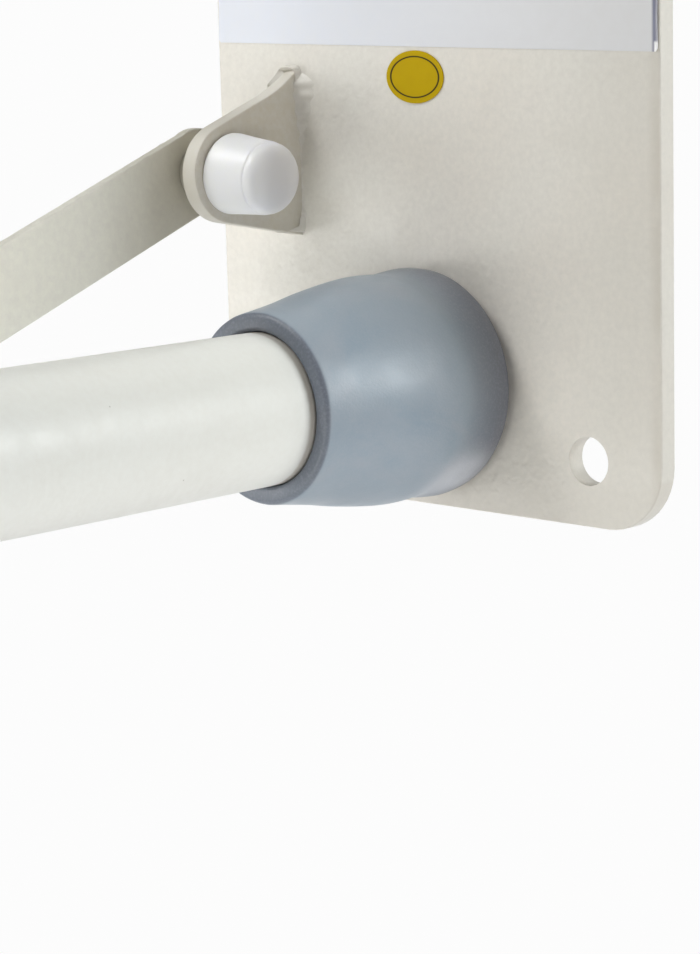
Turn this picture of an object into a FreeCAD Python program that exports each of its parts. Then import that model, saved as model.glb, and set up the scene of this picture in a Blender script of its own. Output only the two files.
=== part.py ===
import FreeCAD, Part
import math
import os

import Sketcher
from FreeCAD import Placement, Rotation, Vector

# Wall-mounted drop-down toilet support rail with a folding, height-adjustable leg.
# Millimetres, +Z up.  The wall is the plane Y = 0 and the rail points along -Y.
# The origin is the centre of the wall plate's back face.

doc = FreeCAD.newDocument("drop_down_support_rail")
sheet = doc.addObject("Spreadsheet::Sheet", "Sizes")

SIZES = [
    ("plate_width", 100.0, "wall plate width, along X"),
    ("plate_height", 231.0, "wall plate height, along Z"),
    ("plate_thick", 3.5, "wall plate thickness"),
    ("plate_corner", 11.0, "wall plate corner radius"),
    ("plate_edge", 0.3, "rounding of the coated plate edges"),
    ("fix_dx", 70.0, "wall fixing holes, spacing along X"),
    ("fix_dz", 209.0, "wall fixing holes, spacing along Z"),
    ("fix_radius", 4.1, "wall fixing hole radius"),
    ("tube_radius", 12.5, "rail tube outer radius"),
    ("tube_wall", 1.5, "rail tube wall"),
    ("low_level", -93.7, "height of the lower rail tube's axis"),
    ("arm_pitch", 180.0, "upper tube axis above lower tube axis"),
    ("pivot_out", 20.7, "fold and link pivots, distance from the wall"),
    ("bend_out", 640.0, "centre of the rail's end bend, distance from the wall"),
    ("tube_behind", 9.0, "upper tube's end, behind the fold pivot"),
    ("low_end_out", 11.5, "lower tube's end, distance from the wall"),
    ("leg_run", 462.0, "leg pivot in front of the fold pivot"),
    ("link_level", -57.7, "height of the link pivot on the wall plate"),
    ("lug_face", 29.5, "lug's inner face, distance from the middle plane"),
    ("lug_thick", 3.3, "lug thickness"),
    ("lug_tip", 8.65, "lug tip radius"),
    ("lug_hole", 3.2, "lug bolt hole radius"),
    ("strap_face", 38.3, "strap's inner face, distance from the middle plane"),
    ("strap_thick", 2.1, "strap thickness"),
    ("strap_width", 14.55, "strap width"),
    ("strap_end", 8.2, "strap end beyond its pivot centre"),
    ("strap_bore", 4.05, "strap bore on its bush"),
    ("strap_far_bore", 4.15, "strap bore on the leg screw"),
    ("ear_inner", 15.5, "hinge ear inner face, distance from the middle plane"),
    ("ear_thick", 3.0, "hinge ear thickness"),
    ("ear_tip", 14.0, "hinge ear tip radius"),
    ("ear_half", 26.0, "hinge ear half height at the plate"),
    ("sleeve_half", 14.0, "fold pivot sleeve half length"),
    ("sleeve_radius", 7.0, "fold pivot sleeve outer radius"),
    ("mten_radius", 5.0, "M10 bolt radius"),
    ("mten_flats", 16.0, "M10 hexagon across flats"),
    ("mten_head", 6.4, "M10 head height"),
    ("mten_nut", 10.0, "M10 lock nut height"),
    ("mten_disc", 10.0, "M10 washer outer radius"),
    ("mten_disc_thick", 2.0, "M10 washer thickness"),
    ("meight_radius", 4.0, "M8 bolt radius"),
    ("meight_flats", 13.0, "M8 hexagon across flats"),
    ("meight_head", 5.3, "M8 head height"),
    ("meight_nut", 8.0, "M8 lock nut height"),
    ("meight_disc", 8.0, "M8 washer outer radius"),
    ("meight_disc_thick", 1.6, "M8 washer thickness"),
    ("msix_radius", 3.0, "M6 bolt radius"),
    ("msix_flats", 10.0, "M6 hexagon across flats"),
    ("msix_head", 4.0, "M6 head height"),
    ("msix_nut", 6.0, "M6 lock nut height"),
    ("msix_disc", 6.0, "M6 washer outer radius"),
    ("msix_disc_thick", 1.6, "M6 washer thickness"),
    ("running", 0.05, "radial running clearance of the pivots"),
    ("leg_offset", 51.9, "leg axis, distance from the middle plane"),
    ("leg_radius", 11.0, "leg outer tube radius"),
    ("leg_wall", 1.5, "leg outer tube wall"),
    ("leg_top", 16.0, "leg tube's top above its pivot"),
    ("leg_length", 352.0, "leg outer tube length"),
    ("inner_radius", 9.42, "leg inner tube radius"),
    ("inner_wall", 1.2, "leg inner tube wall"),
    ("inner_length", 311.0, "leg inner tube length"),
    ("inner_level", -305.0, "height of the leg inner tube's top"),
    ("hole_level", -330.0, "height of the snap button"),
    ("hole_pitch", 19.0, "pitch of the height holes"),
    ("button_radius", 4.0, "snap button radius"),
    ("foot_height", 40.0, "foot ferrule height"),
    ("foot_floor", 20.0, "foot ferrule sole to the tube's end"),
    ("buffer_length", 40.9, "wall buffer length"),
    ("label_width", 98.9, "rating label width"),
    ("label_height", 28.0, "rating label height"),
    ("film", 0.2, "thickness of the label and the sticker"),
    ("sticker_wide", 6.5, "inspection sticker half width"),
    ("sticker_high", 4.45, "inspection sticker half height"),
]
for row, (alias, value, what) in enumerate(SIZES, start=1):
    sheet.set("A%d" % row, what)
    sheet.set("B%d" % row, str(value))
    sheet.setAlias("B%d" % row, alias)
doc.recompute()
D = {alias: float(sheet.get(alias)) for alias, _, _ in SIZES}

ALONG = {
    "+x": Rotation(Vector(0, 1, 0), 90),
    "-x": Rotation(Vector(0, 1, 0), -90),
    "+y": Rotation(Vector(1, 0, 0), -90),
    "-y": Rotation(Vector(1, 0, 0), 90),
    "+z": Rotation(),
    "-z": Rotation(Vector(1, 0, 0), 180),
}
LOW = "Sizes.low_level"
UP = "Sizes.low_level + Sizes.arm_pitch"
PIVOT_Y = "-Sizes.pivot_out"
LEG_Y = "-Sizes.pivot_out - Sizes.leg_run"
LEG_X = "-Sizes.leg_offset"
LINK_Z = "Sizes.link_level"
LINK_END_Z = "Sizes.link_level - Sizes.arm_pitch"

NODES = []


def put(obj, x, y, z, turn=None):
    """Place obj, with each coordinate bound to the sheet."""
    obj.Placement = Placement(Vector(0, 0, 0), turn or Rotation())
    for letter, text in zip("xyz", (x, y, z)):
        obj.setExpression("Placement.Base." + letter, str(text))
    return obj


def node(obj, label):
    obj.Label = label
    NODES.append(obj)
    return obj


def cylinder(name, radius, height, x="0", y="0", z="0", turn=None):
    obj = doc.addObject("Part::Cylinder", name)
    obj.setExpression("Radius", str(radius))
    obj.setExpression("Height", str(height))
    return put(obj, x, y, z, turn)


def cone(name, low, high, height, z="0"):
    obj = doc.addObject("Part::Cone", name)
    obj.setExpression("Radius1", str(low))
    obj.setExpression("Radius2", str(high))
    obj.setExpression("Height", str(height))
    return put(obj, "0", "0", z)


def hexagon(name, flats, height, z="0"):
    obj = doc.addObject("Part::Prism", name)
    obj.Polygon = 6
    obj.setExpression("Circumradius", "(%s) / sqrt(3)" % flats)
    obj.setExpression("Height", str(height))
    return put(obj, "0", "0", z)


def cut(name, base, *tools):
    if len(tools) > 1:
        tool = doc.addObject("Part::MultiFuse", name + "_tools")
        tool.Shapes = list(tools)
    else:
        tool = tools[0]
    obj = doc.addObject("Part::Cut", name)
    obj.Base = base
    obj.Tool = tool
    return obj


def fuse(name, *pieces):
    obj = doc.addObject("Part::MultiFuse", name)
    obj.Shapes = list(pieces)
    return obj


def group(name, *pieces):
    obj = doc.addObject("Part::Compound", name)
    obj.Links = list(pieces)
    return obj


# ---- sketches ------------------------------------------------------------

def new_body(name):
    return doc.addObject("PartDesign::Body", name)


def sketch(body, role, name):
    plane = [f for f in body.Origin.OriginFeatures if f.Role == role][0]
    obj = body.newObject("Sketcher::SketchObject", name)
    obj.AttachmentSupport = [(plane, "")]
    obj.MapMode = "FlatFace"
    return obj


def outline(sk, curves):
    """Add a closed outline and tie each curve's end to the next one's start."""
    ids = [sk.addGeometry(c, False) for c in curves]
    for a, b in zip(ids, ids[1:] + ids[:1]):
        best = None
        for pa in (2, 1):
            for pb in (1, 2):
                gap = (sk.getPoint(a, pa) - sk.getPoint(b, pb)).Length
                if gap < 1e-5 and best is None:
                    best = (pa, pb)
        if best and not (len(ids) == 2 and (a, b) == (ids[1], ids[0])):
            sk.addConstraint(Sketcher.Constraint("Coincident", a, best[0], b, best[1]))
    return ids


def line(a, b):
    return Part.LineSegment(Vector(a[0], a[1], 0), Vector(b[0], b[1], 0))


def arc(a, m, b):
    return Part.Arc(Vector(a[0], a[1], 0), Vector(m[0], m[1], 0), Vector(b[0], b[1], 0))


def circle(x, y, r):
    return Part.Circle(Vector(x, y, 0), Vector(0, 0, 1), r)


def pad(body, sk, length, name):
    obj = body.newObject("PartDesign::Pad", name)
    obj.Profile = sk
    obj.setExpression("Length", str(length))
    sk.Visibility = False
    return obj


def pocket(body, sk, name):
    """A hole through the whole body, turned round if it points away from it."""
    before = body.Shape.Volume
    obj = body.newObject("PartDesign::Pocket", name)
    obj.Profile = sk
    obj.Type = "ThroughAll"
    doc.recompute()
    if obj.Shape.isNull() or abs(obj.Shape.Volume - before) < 1e-6:
        obj.Reversed = True
        doc.recompute()
    if not obj.Shape.Volume < before - 1e-6:
        raise RuntimeError("%s cuts nothing" % name)
    return obj


def revolve(body, sk, axis, name):
    obj = body.newObject("PartDesign::Revolution", name)
    obj.Profile = sk
    obj.ReferenceAxis = (sk, [axis])
    obj.Angle = 360
    return obj


def tangent(point, centre, radius, side):
    """Where a line from point touches a circle; side picks one of the two."""
    dx, dy = point[0] - centre[0], point[1] - centre[1]
    far = math.hypot(dx, dy)
    turn = math.acos(radius / far)
    ang = math.atan2(dy, dx) + side * turn
    return (centre[0] + radius * math.cos(ang), centre[1] + radius * math.sin(ang))


# ---- bought-in fasteners, each built along its own +Z -----------------------

def bolt(name, size, length, grip_extra="0"):
    """Hexagon bolt: under the head at Z = 0, head above, shank below."""
    head = hexagon(name + "_head", "Sizes.%s_flats" % size, "Sizes.%s_head" % size)
    crown = cone(name + "_crown", "Sizes.%s_flats * 0.63" % size, "Sizes.%s_flats * 0.44" % size,
                 "Sizes.%s_head" % size)
    crown.setExpression("Height", "Sizes.%s_head * 1.6" % size)
    trimmed = doc.addObject("Part::Common", name + "_trim")
    trimmed.Base, trimmed.Tool = head, crown
    shank = cylinder(name + "_shank", "Sizes.%s_radius" % size, length, "0", "0", "-(%s)" % length)
    return fuse(name, trimmed, shank)


def nut(name, size):
    """Lock nut: seat at Z = 0, with the round collar of its nylon ring on top."""
    base = hexagon(name + "_hex", "Sizes.%s_flats" % size, "Sizes.%s_nut * 0.75" % size)
    ring = cylinder(name + "_ring", "Sizes.%s_flats * 0.47" % size, "Sizes.%s_nut" % size)
    blank = fuse(name + "_blank", base, ring)
    bore = cylinder(name + "_bore", "Sizes.%s_radius" % size, "Sizes.%s_nut + 2" % size, "0", "0", "-1")
    return cut(name, blank, bore)


def disc(name, outer, inner, thick, z="0"):
    rim = cylinder(name + "_rim", outer, thick, "0", "0", z)
    eye = cylinder(name + "_eye", inner, "(%s) + 2" % thick, "0", "0", "(%s) - 1" % z)
    return cut(name, rim, eye)


def cover(name, size, base, neck, skirt, dome, top):
    """Moulded nut cover: round seat, tapered skirt and a domed end; a round
    recess for the washer, a hexagon for the nut and a bore for the bolt end."""
    skin = cone(name + "_skirt", base, neck, skirt)
    end = doc.addObject("Part::Ellipsoid", name + "_dome")
    end.setExpression("Radius1", str(top))
    end.setExpression("Radius2", str(dome))
    end.setExpression("Radius3", str(dome))
    end.Angle1 = 0
    put(end, "0", "0", skirt)
    shell = fuse(name + "_shell", skin, end)
    seat = cylinder(name + "_seat", "Sizes.%s_disc + 0.05" % size, "Sizes.%s_disc_thick + 1.05" % size,
                    "0", "0", "-1")
    grip = hexagon(name + "_grip", "Sizes.%s_flats + 0.1" % size,
                   "Sizes.%s_disc_thick + Sizes.%s_nut + 0.1" % (size, size))
    bore = cylinder(name + "_well", "Sizes.%s_radius + 0.1" % size,
                    "Sizes.%s_disc_thick + Sizes.%s_nut + 2.2" % (size, size))
    return cut(name, shell, seat, grip, bore)


# ==== wall mount ============================================================

# wall plate: blanked and coated sheet with rounded corners and four fixings
b = new_body("WallPlate")
sk = sketch(b, "XZ_Plane", "PlateOutline")
w, h = D["plate_width"] / 2, D["plate_height"] / 2
ids = outline(sk, [line((-w, -h), (w, -h)), line((w, -h), (w, h)), line((w, h), (-w, h)), line((-w, h), (-w, -h))])
for i, kind in zip(ids, ("Horizontal", "Vertical", "Horizontal", "Vertical")):
    sk.addConstraint(Sketcher.Constraint(kind, i))
sk.addConstraint(Sketcher.Constraint("Symmetric", ids[0], 1, ids[2], 1, -1, 1))
c = sk.addConstraint(Sketcher.Constraint("DistanceX", ids[0], 1, ids[0], 2, 2 * w))
sk.renameConstraint(c, "width")
sk.setExpression("Constraints.width", "Sizes.plate_width")
c = sk.addConstraint(Sketcher.Constraint("DistanceY", ids[1], 1, ids[1], 2, 2 * h))
sk.renameConstraint(c, "height")
sk.setExpression("Constraints.height", "Sizes.plate_height")
p = pad(b, sk, "Sizes.plate_thick", "PlatePad")
doc.recompute()
if p.Shape.BoundBox.YMax > 1:
    p.Reversed = True
    doc.recompute()
corners = [
    "Edge%d" % (i + 1)
    for i, e in enumerate(p.Shape.Edges)
    if abs(e.Vertexes[0].Point.y - e.Vertexes[-1].Point.y) > 1
]
f = b.newObject("PartDesign::Fillet", "PlateCorners")
f.Base = (p, corners)
f.setExpression("Radius", "Sizes.plate_corner")
doc.recompute()
rims = [
    "Edge%d" % (i + 1)
    for i, e in enumerate(f.Shape.Edges)
    if e.BoundBox.YLength < 1e-6
]
g = b.newObject("PartDesign::Fillet", "PlateRims")
g.Base = (f, rims)
g.setExpression("Radius", "Sizes.plate_edge")
doc.recompute()
sk = sketch(b, "XZ_Plane", "PlateFixings")
for sx in (-1, 1):
    for sz in (-1, 1):
        i = sk.addGeometry(circle(sx * D["fix_dx"] / 2, sz * D["fix_dz"] / 2, D["fix_radius"]), False)
        tag = "%s%s" % ("a" if sx < 0 else "b", "a" if sz < 0 else "b")
        for kind, text, name in (
            ("DistanceX", "%sSizes.fix_dx / 2" % ("-" if sx < 0 else ""), "x" + tag),
            ("DistanceY", "%sSizes.fix_dz / 2" % ("-" if sz < 0 else ""), "z" + tag),
        ):
            now = sk.getPoint(i, 3)
            c = sk.addConstraint(
                Sketcher.Constraint(kind, i, 3, now.x if kind == "DistanceX" else now.y)
            )
            sk.renameConstraint(c, name)
            sk.setExpression("Constraints." + name, text)
        c = sk.addConstraint(Sketcher.Constraint("Radius", i, D["fix_radius"]))
        sk.renameConstraint(c, "r" + tag)
        sk.setExpression("Constraints.r" + tag, "Sizes.fix_radius")
pocket(b, sk, "PlateHoles")
node(put(b, "0", "0", "0"), "wall_plate")


def ear(name, label, side):
    """Hinge ear welded square to the plate; origin at the fold pivot."""
    body = new_body(name)
    s = sketch(body, "YZ_Plane", name + "Outline")
    back = D["pivot_out"] - D["plate_thick"]
    half = D["ear_half"]
    top = tangent((back, half), (0, 0), D["ear_tip"], 1)
    low = (top[0], -top[1])
    outline(s, [
        line((back, -half), (back, half)),
        line((back, half), top),
        arc(top, (-D["ear_tip"], 0), low),
        line(low, (back, -half)),
    ])
    pad(body, s, "Sizes.ear_thick", name + "Pad")
    doc.recompute()
    s = sketch(body, "YZ_Plane", name + "Eye")
    s.addGeometry(circle(0, 0, D["mten_radius"] + 0.1), False)
    pocket(body, s, name + "Bore")
    x = "Sizes.ear_inner" if side > 0 else "-Sizes.ear_inner - Sizes.ear_thick"
    return node(put(body, x, PIVOT_Y, UP), label)


ear("EarRight", "hinge_ear_right", 1)
ear("EarLeft", "hinge_ear_left", -1)

# fillet welds along the outer foot of each ear
beads = []
for side, name in ((1, "EarWeldRight"), (-1, "EarWeldLeft")):
    o = doc.addObject("Part::Wedge", name)
    # right-angled section 3 x 3, 46 long
    o.Xmin, o.Xmax, o.Ymin, o.Ymax, o.Zmin, o.Zmax = 0, 3.0, 0, 3.0, -23, 23
    o.X2min, o.X2max, o.Z2min, o.Z2max = 0, 0.01, -23, 23
    if side > 0:
        put(o, "Sizes.ear_inner + Sizes.ear_thick", "-Sizes.plate_thick", UP, Rotation(Vector(1, 0, 0), 180))
    else:
        put(o, "-Sizes.ear_inner - Sizes.ear_thick", "-Sizes.plate_thick", UP, Rotation(Vector(0, 0, 1), 180))
    beads.append(o)
node(group("EarWelds", *beads), "hinge_ear_welds")

# fold pivot: bolt, washers, lock nut, friction washers and covers
o = bolt("HingeBolt", "mten", "2 * Sizes.ear_inner + 2 * Sizes.ear_thick + 2 * Sizes.mten_disc_thick + Sizes.mten_nut + 1.5")
node(put(o, "Sizes.ear_inner + Sizes.ear_thick + Sizes.mten_disc_thick", PIVOT_Y, UP, ALONG["+x"]), "hinge_bolt")
pair = []
for side, name in ((1, "HingeWasherRight"), (-1, "HingeWasherLeft")):
    o = disc(name, "Sizes.mten_disc", "Sizes.mten_radius + 0.1", "Sizes.mten_disc_thick")
    x = "Sizes.ear_inner + Sizes.ear_thick" if side > 0 else "-Sizes.ear_inner - Sizes.ear_thick"
    pair.append(put(o, x, PIVOT_Y, UP, ALONG["+x" if side > 0 else "-x"]))
node(group("HingeWashers", *pair), "hinge_washers")
o = nut("HingeNut", "mten")
node(put(o, "-Sizes.ear_inner - Sizes.ear_thick - Sizes.mten_disc_thick", PIVOT_Y, UP, ALONG["-x"]), "hinge_nut")
pair = []
for side, name in ((1, "FrictionWasherRight"), (-1, "FrictionWasherLeft")):
    o = disc(name, "12", "Sizes.mten_radius + Sizes.running", "Sizes.ear_inner - Sizes.sleeve_half - 0.1")
    x = "Sizes.sleeve_half + 0.05" if side > 0 else "-Sizes.sleeve_half - 0.05"
    pair.append(put(o, x, PIVOT_Y, UP, ALONG["+x" if side > 0 else "-x"]))
node(group("FrictionWashers", *pair), "hinge_friction_washers")
pair = []
for side, name in ((1, "HingeCoverRight"), (-1, "HingeCoverLeft")):
    o = cover(name, "mten", "11.2", "10.1", "14.6", "9.9", "6.4")
    x = "Sizes.ear_inner + Sizes.ear_thick" if side > 0 else "-Sizes.ear_inner - Sizes.ear_thick"
    pair.append(put(o, x, PIVOT_Y, UP, ALONG["+x" if side > 0 else "-x"]))
node(group("HingeCovers", *pair), "hinge_bolt_covers")

# lug for the link, tapered from the plate to a rounded tip
b = new_body("LinkLug")
sk = sketch(b, "YZ_Plane", "LugOutline")
back = D["pivot_out"] - D["plate_thick"]
r = D["lug_tip"]
low_foot = (back, -12.0)
low = tangent(low_foot, (0, 0), r, -1)
if low[1] > 0:
    low = tangent(low_foot, (0, 0), r, 1)
bend = (back - 9.1, 12.4)
top = tangent(bend, (0, 0), r, 1)
if top[1] < 0:
    top = tangent(bend, (0, 0), r, -1)
high_foot = (back, 17.8)
outline(sk, [
    line(low_foot, high_foot),
    arc(high_foot, (back - 4.3, 14.6), bend),
    line(bend, top),
    arc(top, (-r, 0), low),
    line(low, low_foot),
])
pad(b, sk, "Sizes.lug_thick", "LugPad")
doc.recompute()
sk = sketch(b, "YZ_Plane", "LugEye")
sk.addGeometry(circle(0, 0, D["lug_hole"]), False)
pocket(b, sk, "LugBore")
node(put(b, "-Sizes.lug_face - Sizes.lug_thick", PIVOT_Y, LINK_Z), "link_lug")

# weld run down the outer foot of the lug and tacks at its two corners
run = doc.addObject("Part::Wedge", "LugWeldRun")
run.Xmin, run.Xmax, run.Ymin, run.Ymax, run.Zmin, run.Zmax = 0, 3.0, 0, 3.0, -10.5, 16.5
run.X2min, run.X2max, run.Z2min, run.Z2max = 0, 0.01, -10.5, 16.5
put(run, "-Sizes.lug_face - Sizes.lug_thick", "-Sizes.plate_thick", LINK_Z, Rotation(Vector(0, 0, 1), 180))
tacks = [run]
for name, level in (("LugTackTop", 16.8), ("LugTackLow", -11.2)):
    o = doc.addObject("Part::Ellipsoid", name)
    o.Radius1, o.Radius2, o.Radius3 = 1.5, 2.4, 1.6
    o.Angle1, o.Angle3 = -90, 360
    dome = put(o, "-Sizes.lug_face - Sizes.lug_thick / 2", "-Sizes.plate_thick", "%s + %s" % (LINK_Z, level))
    slab = doc.addObject("Part::Box", name + "Keep")
    slab.Length, slab.Width, slab.Height = 6, 3, 6
    put(slab, "-Sizes.lug_face - Sizes.lug_thick / 2 - 3", "-Sizes.plate_thick - 3", "%s + %s - 3" % (LINK_Z, level))
    half = doc.addObject("Part::Common", name + "Half")
    half.Base, half.Tool = dome, slab
    tacks.append(half)
node(group("LugWelds", *tacks), "link_lug_welds")

# link pivot: shouldered bush, bolt, washers, lock nut and its cover
body_part = cylinder("BushBody", "4.4", "Sizes.strap_face - Sizes.lug_face - Sizes.lug_thick - 0.1")
spigot = cylinder("BushSpigot", "4", "Sizes.strap_face - Sizes.lug_face - Sizes.lug_thick + Sizes.strap_thick + 0.15")
bore = cylinder("BushBore", "Sizes.msix_radius + 0.05", "20", "0", "0", "-2")
o = cut("LinkBush", fuse("BushBlank", body_part, spigot), bore)
node(put(o, "-Sizes.lug_face - Sizes.lug_thick", PIVOT_Y, LINK_Z, ALONG["-x"]), "link_pivot_bush")
HEAD_SIDE = "-Sizes.strap_face - Sizes.strap_thick - 0.15"
o = bolt("LinkBolt", "msix",
         "Sizes.strap_face + Sizes.strap_thick + 0.15 + Sizes.msix_disc_thick - Sizes.lug_face + Sizes.msix_disc_thick + Sizes.msix_nut + 1.6")
node(put(o, HEAD_SIDE + " - Sizes.msix_disc_thick", PIVOT_Y, LINK_Z, ALONG["-x"]), "link_pivot_bolt")
pair = [
    put(disc("LinkWasherHead", "Sizes.msix_disc", "Sizes.msix_radius + 0.1", "Sizes.msix_disc_thick"),
        HEAD_SIDE, PIVOT_Y, LINK_Z, ALONG["-x"]),
    put(disc("LinkWasherNut", "Sizes.msix_disc", "Sizes.msix_radius + 0.1", "Sizes.msix_disc_thick"),
        "-Sizes.lug_face", PIVOT_Y, LINK_Z, ALONG["+x"]),
]
node(group("LinkWashers", *pair), "link_pivot_washers")
o = nut("LinkNut", "msix")
node(put(o, "-Sizes.lug_face + Sizes.msix_disc_thick", PIVOT_Y, LINK_Z, ALONG["+x"]), "link_pivot_nut")
COVER_SIX = ("6.85", "6.2", "9.1", "6.08", "4.4")
o = cover("LinkNutCover", "msix", *COVER_SIX)
node(put(o, "-Sizes.lug_face", PIVOT_Y, LINK_Z, ALONG["+x"]), "link_nut_cover")

# blank rating label and blank oval inspection sticker on the plate's face
o = doc.addObject("Part::Box", "RatingLabel")
o.setExpression("Length", "Sizes.label_width")
o.setExpression("Width", "Sizes.film")
o.setExpression("Height", "Sizes.label_height")
node(put(o, "-Sizes.label_width / 2 - 0.3", "-Sizes.plate_thick - Sizes.film", "-35.3",
         Rotation(Vector(0, 1, 0), 1.8)), "rating_label")
b = new_body("InspectionSticker")
sk = sketch(b, "XZ_Plane", "StickerOutline")
sk.addGeometry(Part.Ellipse(Vector(0, 0, 0), D["sticker_wide"], D["sticker_high"]), False)
pad(b, sk, "Sizes.film", "StickerPad")
node(put(b, "-1.6", "-Sizes.plate_thick", "-41.9", Rotation(Vector(0, 1, 0), 1.5)), "inspection_sticker")

# ==== arm ===================================================================

# one tube, bent into a U lying on its side
b = new_body("ArmTube")
path = sketch(b, "YZ_Plane", "ArmPath")
y_pivot, y_bend = -D["pivot_out"], -D["bend_out"]
z_low, z_up = D["low_level"], D["low_level"] + D["arm_pitch"]
reach = D["arm_pitch"] / 2
path_ids = [
    path.addGeometry(line((y_pivot + D["tube_behind"], z_up), (y_bend, z_up)), False),
    path.addGeometry(arc((y_bend, z_up), (y_bend - reach, (z_up + z_low) / 2), (y_bend, z_low)), False),
    path.addGeometry(line((y_bend, z_low), (-D["low_end_out"], z_low)), False),
]
prof = sketch(b, "XZ_Plane", "ArmSection")
prof.AttachmentOffset = Placement(Vector(0, 0, -(y_pivot + D["tube_behind"])), Rotation())
prof.addGeometry(circle(0, z_up, D["tube_radius"]), False)
prof.addGeometry(circle(0, z_up, D["tube_radius"] - D["tube_wall"]), False)
doc.recompute()
pipe = b.newObject("PartDesign::AdditivePipe", "ArmPipe")
pipe.Profile = prof
pipe.Spine = (path, ["Edge1", "Edge2", "Edge3"])
doc.recompute()
eye_a = cylinder("ArmEyeFold", "Sizes.sleeve_radius", "40", "-20", PIVOT_Y, UP, ALONG["+x"])
eye_d = cylinder("ArmEyeLeg", "6", "40", "-20", LEG_Y, LOW, ALONG["+x"])
node(cut("ArmTubeDrilled", b, eye_a, eye_d), "arm_tube")

o = disc("FoldSleeve", "Sizes.sleeve_radius", "Sizes.mten_radius + Sizes.running", "2 * Sizes.sleeve_half")
node(put(o, "-Sizes.sleeve_half", PIVOT_Y, UP, ALONG["+x"]), "fold_pivot_sleeve")

# ribbed-in end plug of the upper tube, cut away round the pivot sleeve
flange = cone("PlugFlange", "Sizes.tube_radius", "Sizes.tube_radius - 0.9", "1.2")
stem = cylinder("PlugStem", "Sizes.tube_radius - Sizes.tube_wall", "1.9", "0", "0", "-1.9")
o = fuse("ArmPlug", flange, stem)
node(put(o, "0", PIVOT_Y + " + Sizes.tube_behind", UP, ALONG["+y"]), "arm_end_plug")

# wall buffer: rubber ferrule on the lower tube's end, its sole on the plate
b = new_body("WallBuffer")
sk = sketch(b, "XY_Plane", "BufferSection")
length = D["buffer_length"]
side = [(17.3, 0.0), (18.6, 0.9), (19.5, 2.4), (19.8, 4.3), (19.5, 7.0), (19.2, 10.0), (19.4, 13.5),
        (19.35, 17.0), (18.75, 22.0), (17.95, 27.0), (16.95, 32.0), (16.15, 37.0), (15.75, length - 0.9)]
skin = Part.BSplineCurve()
skin.interpolate([Vector(x, y, 0) for x, y in side])
bore_r, deep = D["tube_radius"], D["low_end_out"] - D["plate_thick"]
outline(sk, [
    line((0, 0), side[0]),
    skin,
    arc(side[-1], (15.5, length - 0.22), (14.9, length)),
    line((14.9, length), (bore_r + 0.35, length)),
    line((bore_r + 0.35, length), (bore_r, length - 0.7)),
    line((bore_r, length - 0.7), (bore_r, deep)),
    line((bore_r, deep), (0, deep)),
    line((0, deep), (0, 0)),
])
revolve(b, sk, "V_Axis", "BufferTurn")
node(put(b, "0", "-Sizes.plate_thick", LOW, Rotation(Vector(0, 0, 1), 180)), "wall_buffer_ferrule")

# leg pivot through the lower tube
o = disc("LegBoltSleeve", "6", "Sizes.meight_radius + 0.05", "2 * Sizes.tube_radius")
node(put(o, "-Sizes.tube_radius", LEG_Y, LOW, ALONG["+x"]), "leg_bolt_sleeve")
LEG_NUT_SEAT = "-Sizes.leg_offset - Sizes.leg_radius - 0.35"
o = bolt("LegBolt", "meight",
         "Sizes.tube_radius + Sizes.meight_disc_thick + Sizes.leg_offset + Sizes.leg_radius + 0.35 + Sizes.meight_disc_thick + Sizes.meight_nut + 1.2")
node(put(o, "Sizes.tube_radius + Sizes.meight_disc_thick", LEG_Y, LOW, ALONG["+x"]), "leg_pivot_bolt")
pair = [
    put(disc("LegWasherHead", "Sizes.meight_disc", "Sizes.meight_radius + 0.1", "Sizes.meight_disc_thick"),
        "Sizes.tube_radius", LEG_Y, LOW, ALONG["+x"]),
    put(disc("LegWasherNut", "Sizes.meight_disc", "Sizes.meight_radius + 0.1", "Sizes.meight_disc_thick"),
        LEG_NUT_SEAT, LEG_Y, LOW, ALONG["-x"]),
]
node(group("LegWashers", *pair), "leg_pivot_washers")
o = disc("LegStandOff", "8", "Sizes.meight_radius + 0.05", "Sizes.leg_offset - Sizes.leg_radius - Sizes.tube_radius - 0.35")
node(put(o, "-Sizes.tube_radius", LEG_Y, LOW, ALONG["-x"]), "leg_stand_off")
o = nut("LegNut", "meight")
node(put(o, LEG_NUT_SEAT + " - Sizes.meight_disc_thick", LEG_Y, LOW, ALONG["-x"]), "leg_pivot_nut")
pair = []
for x, turn, name in (("Sizes.tube_radius", "+x", "LegCoverHead"), (LEG_NUT_SEAT, "-x", "LegCoverNut")):
    pair.append(put(cover(name, "meight", "9.0", "8.2", "12.0", "8.05", "5.4"), x, LEG_Y, LOW, ALONG[turn]))
node(group("LegCovers", *pair), "leg_bolt_covers")

# ==== link ==================================================================

# flat strap from the lug to the leg; its own X runs down the strap
b = new_body("LinkStrap")
sk = sketch(b, "XY_Plane", "StrapOutline")
span = math.hypot(D["arm_pitch"], D["leg_run"])
half, end = D["strap_width"] / 2, D["strap_end"]
shoulder = 2.2
outline(sk, [
    line((shoulder - 1.5, half), (span - shoulder + 1.5, half)),
    arc((span - shoulder + 1.5, half), (span + end, 0), (span - shoulder + 1.5, -half)),
    line((span - shoulder + 1.5, -half), (shoulder - 1.5, -half)),
    arc((shoulder - 1.5, -half), (-end, 0), (shoulder - 1.5, half)),
])
pad(b, sk, "Sizes.strap_thick", "StrapPad")
doc.recompute()
sk = sketch(b, "XY_Plane", "StrapEyes")
i = sk.addGeometry(circle(0, 0, D["strap_bore"]), False)
sk.addConstraint(Sketcher.Constraint("Coincident", i, 3, -1, 1))
c = sk.addConstraint(Sketcher.Constraint("Radius", i, D["strap_bore"]))
sk.renameConstraint(c, "near")
sk.setExpression("Constraints.near", "Sizes.strap_bore")
i = sk.addGeometry(circle(span, 0, D["strap_far_bore"]), False)
sk.addConstraint(Sketcher.Constraint("PointOnObject", i, 3, -1))
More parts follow.
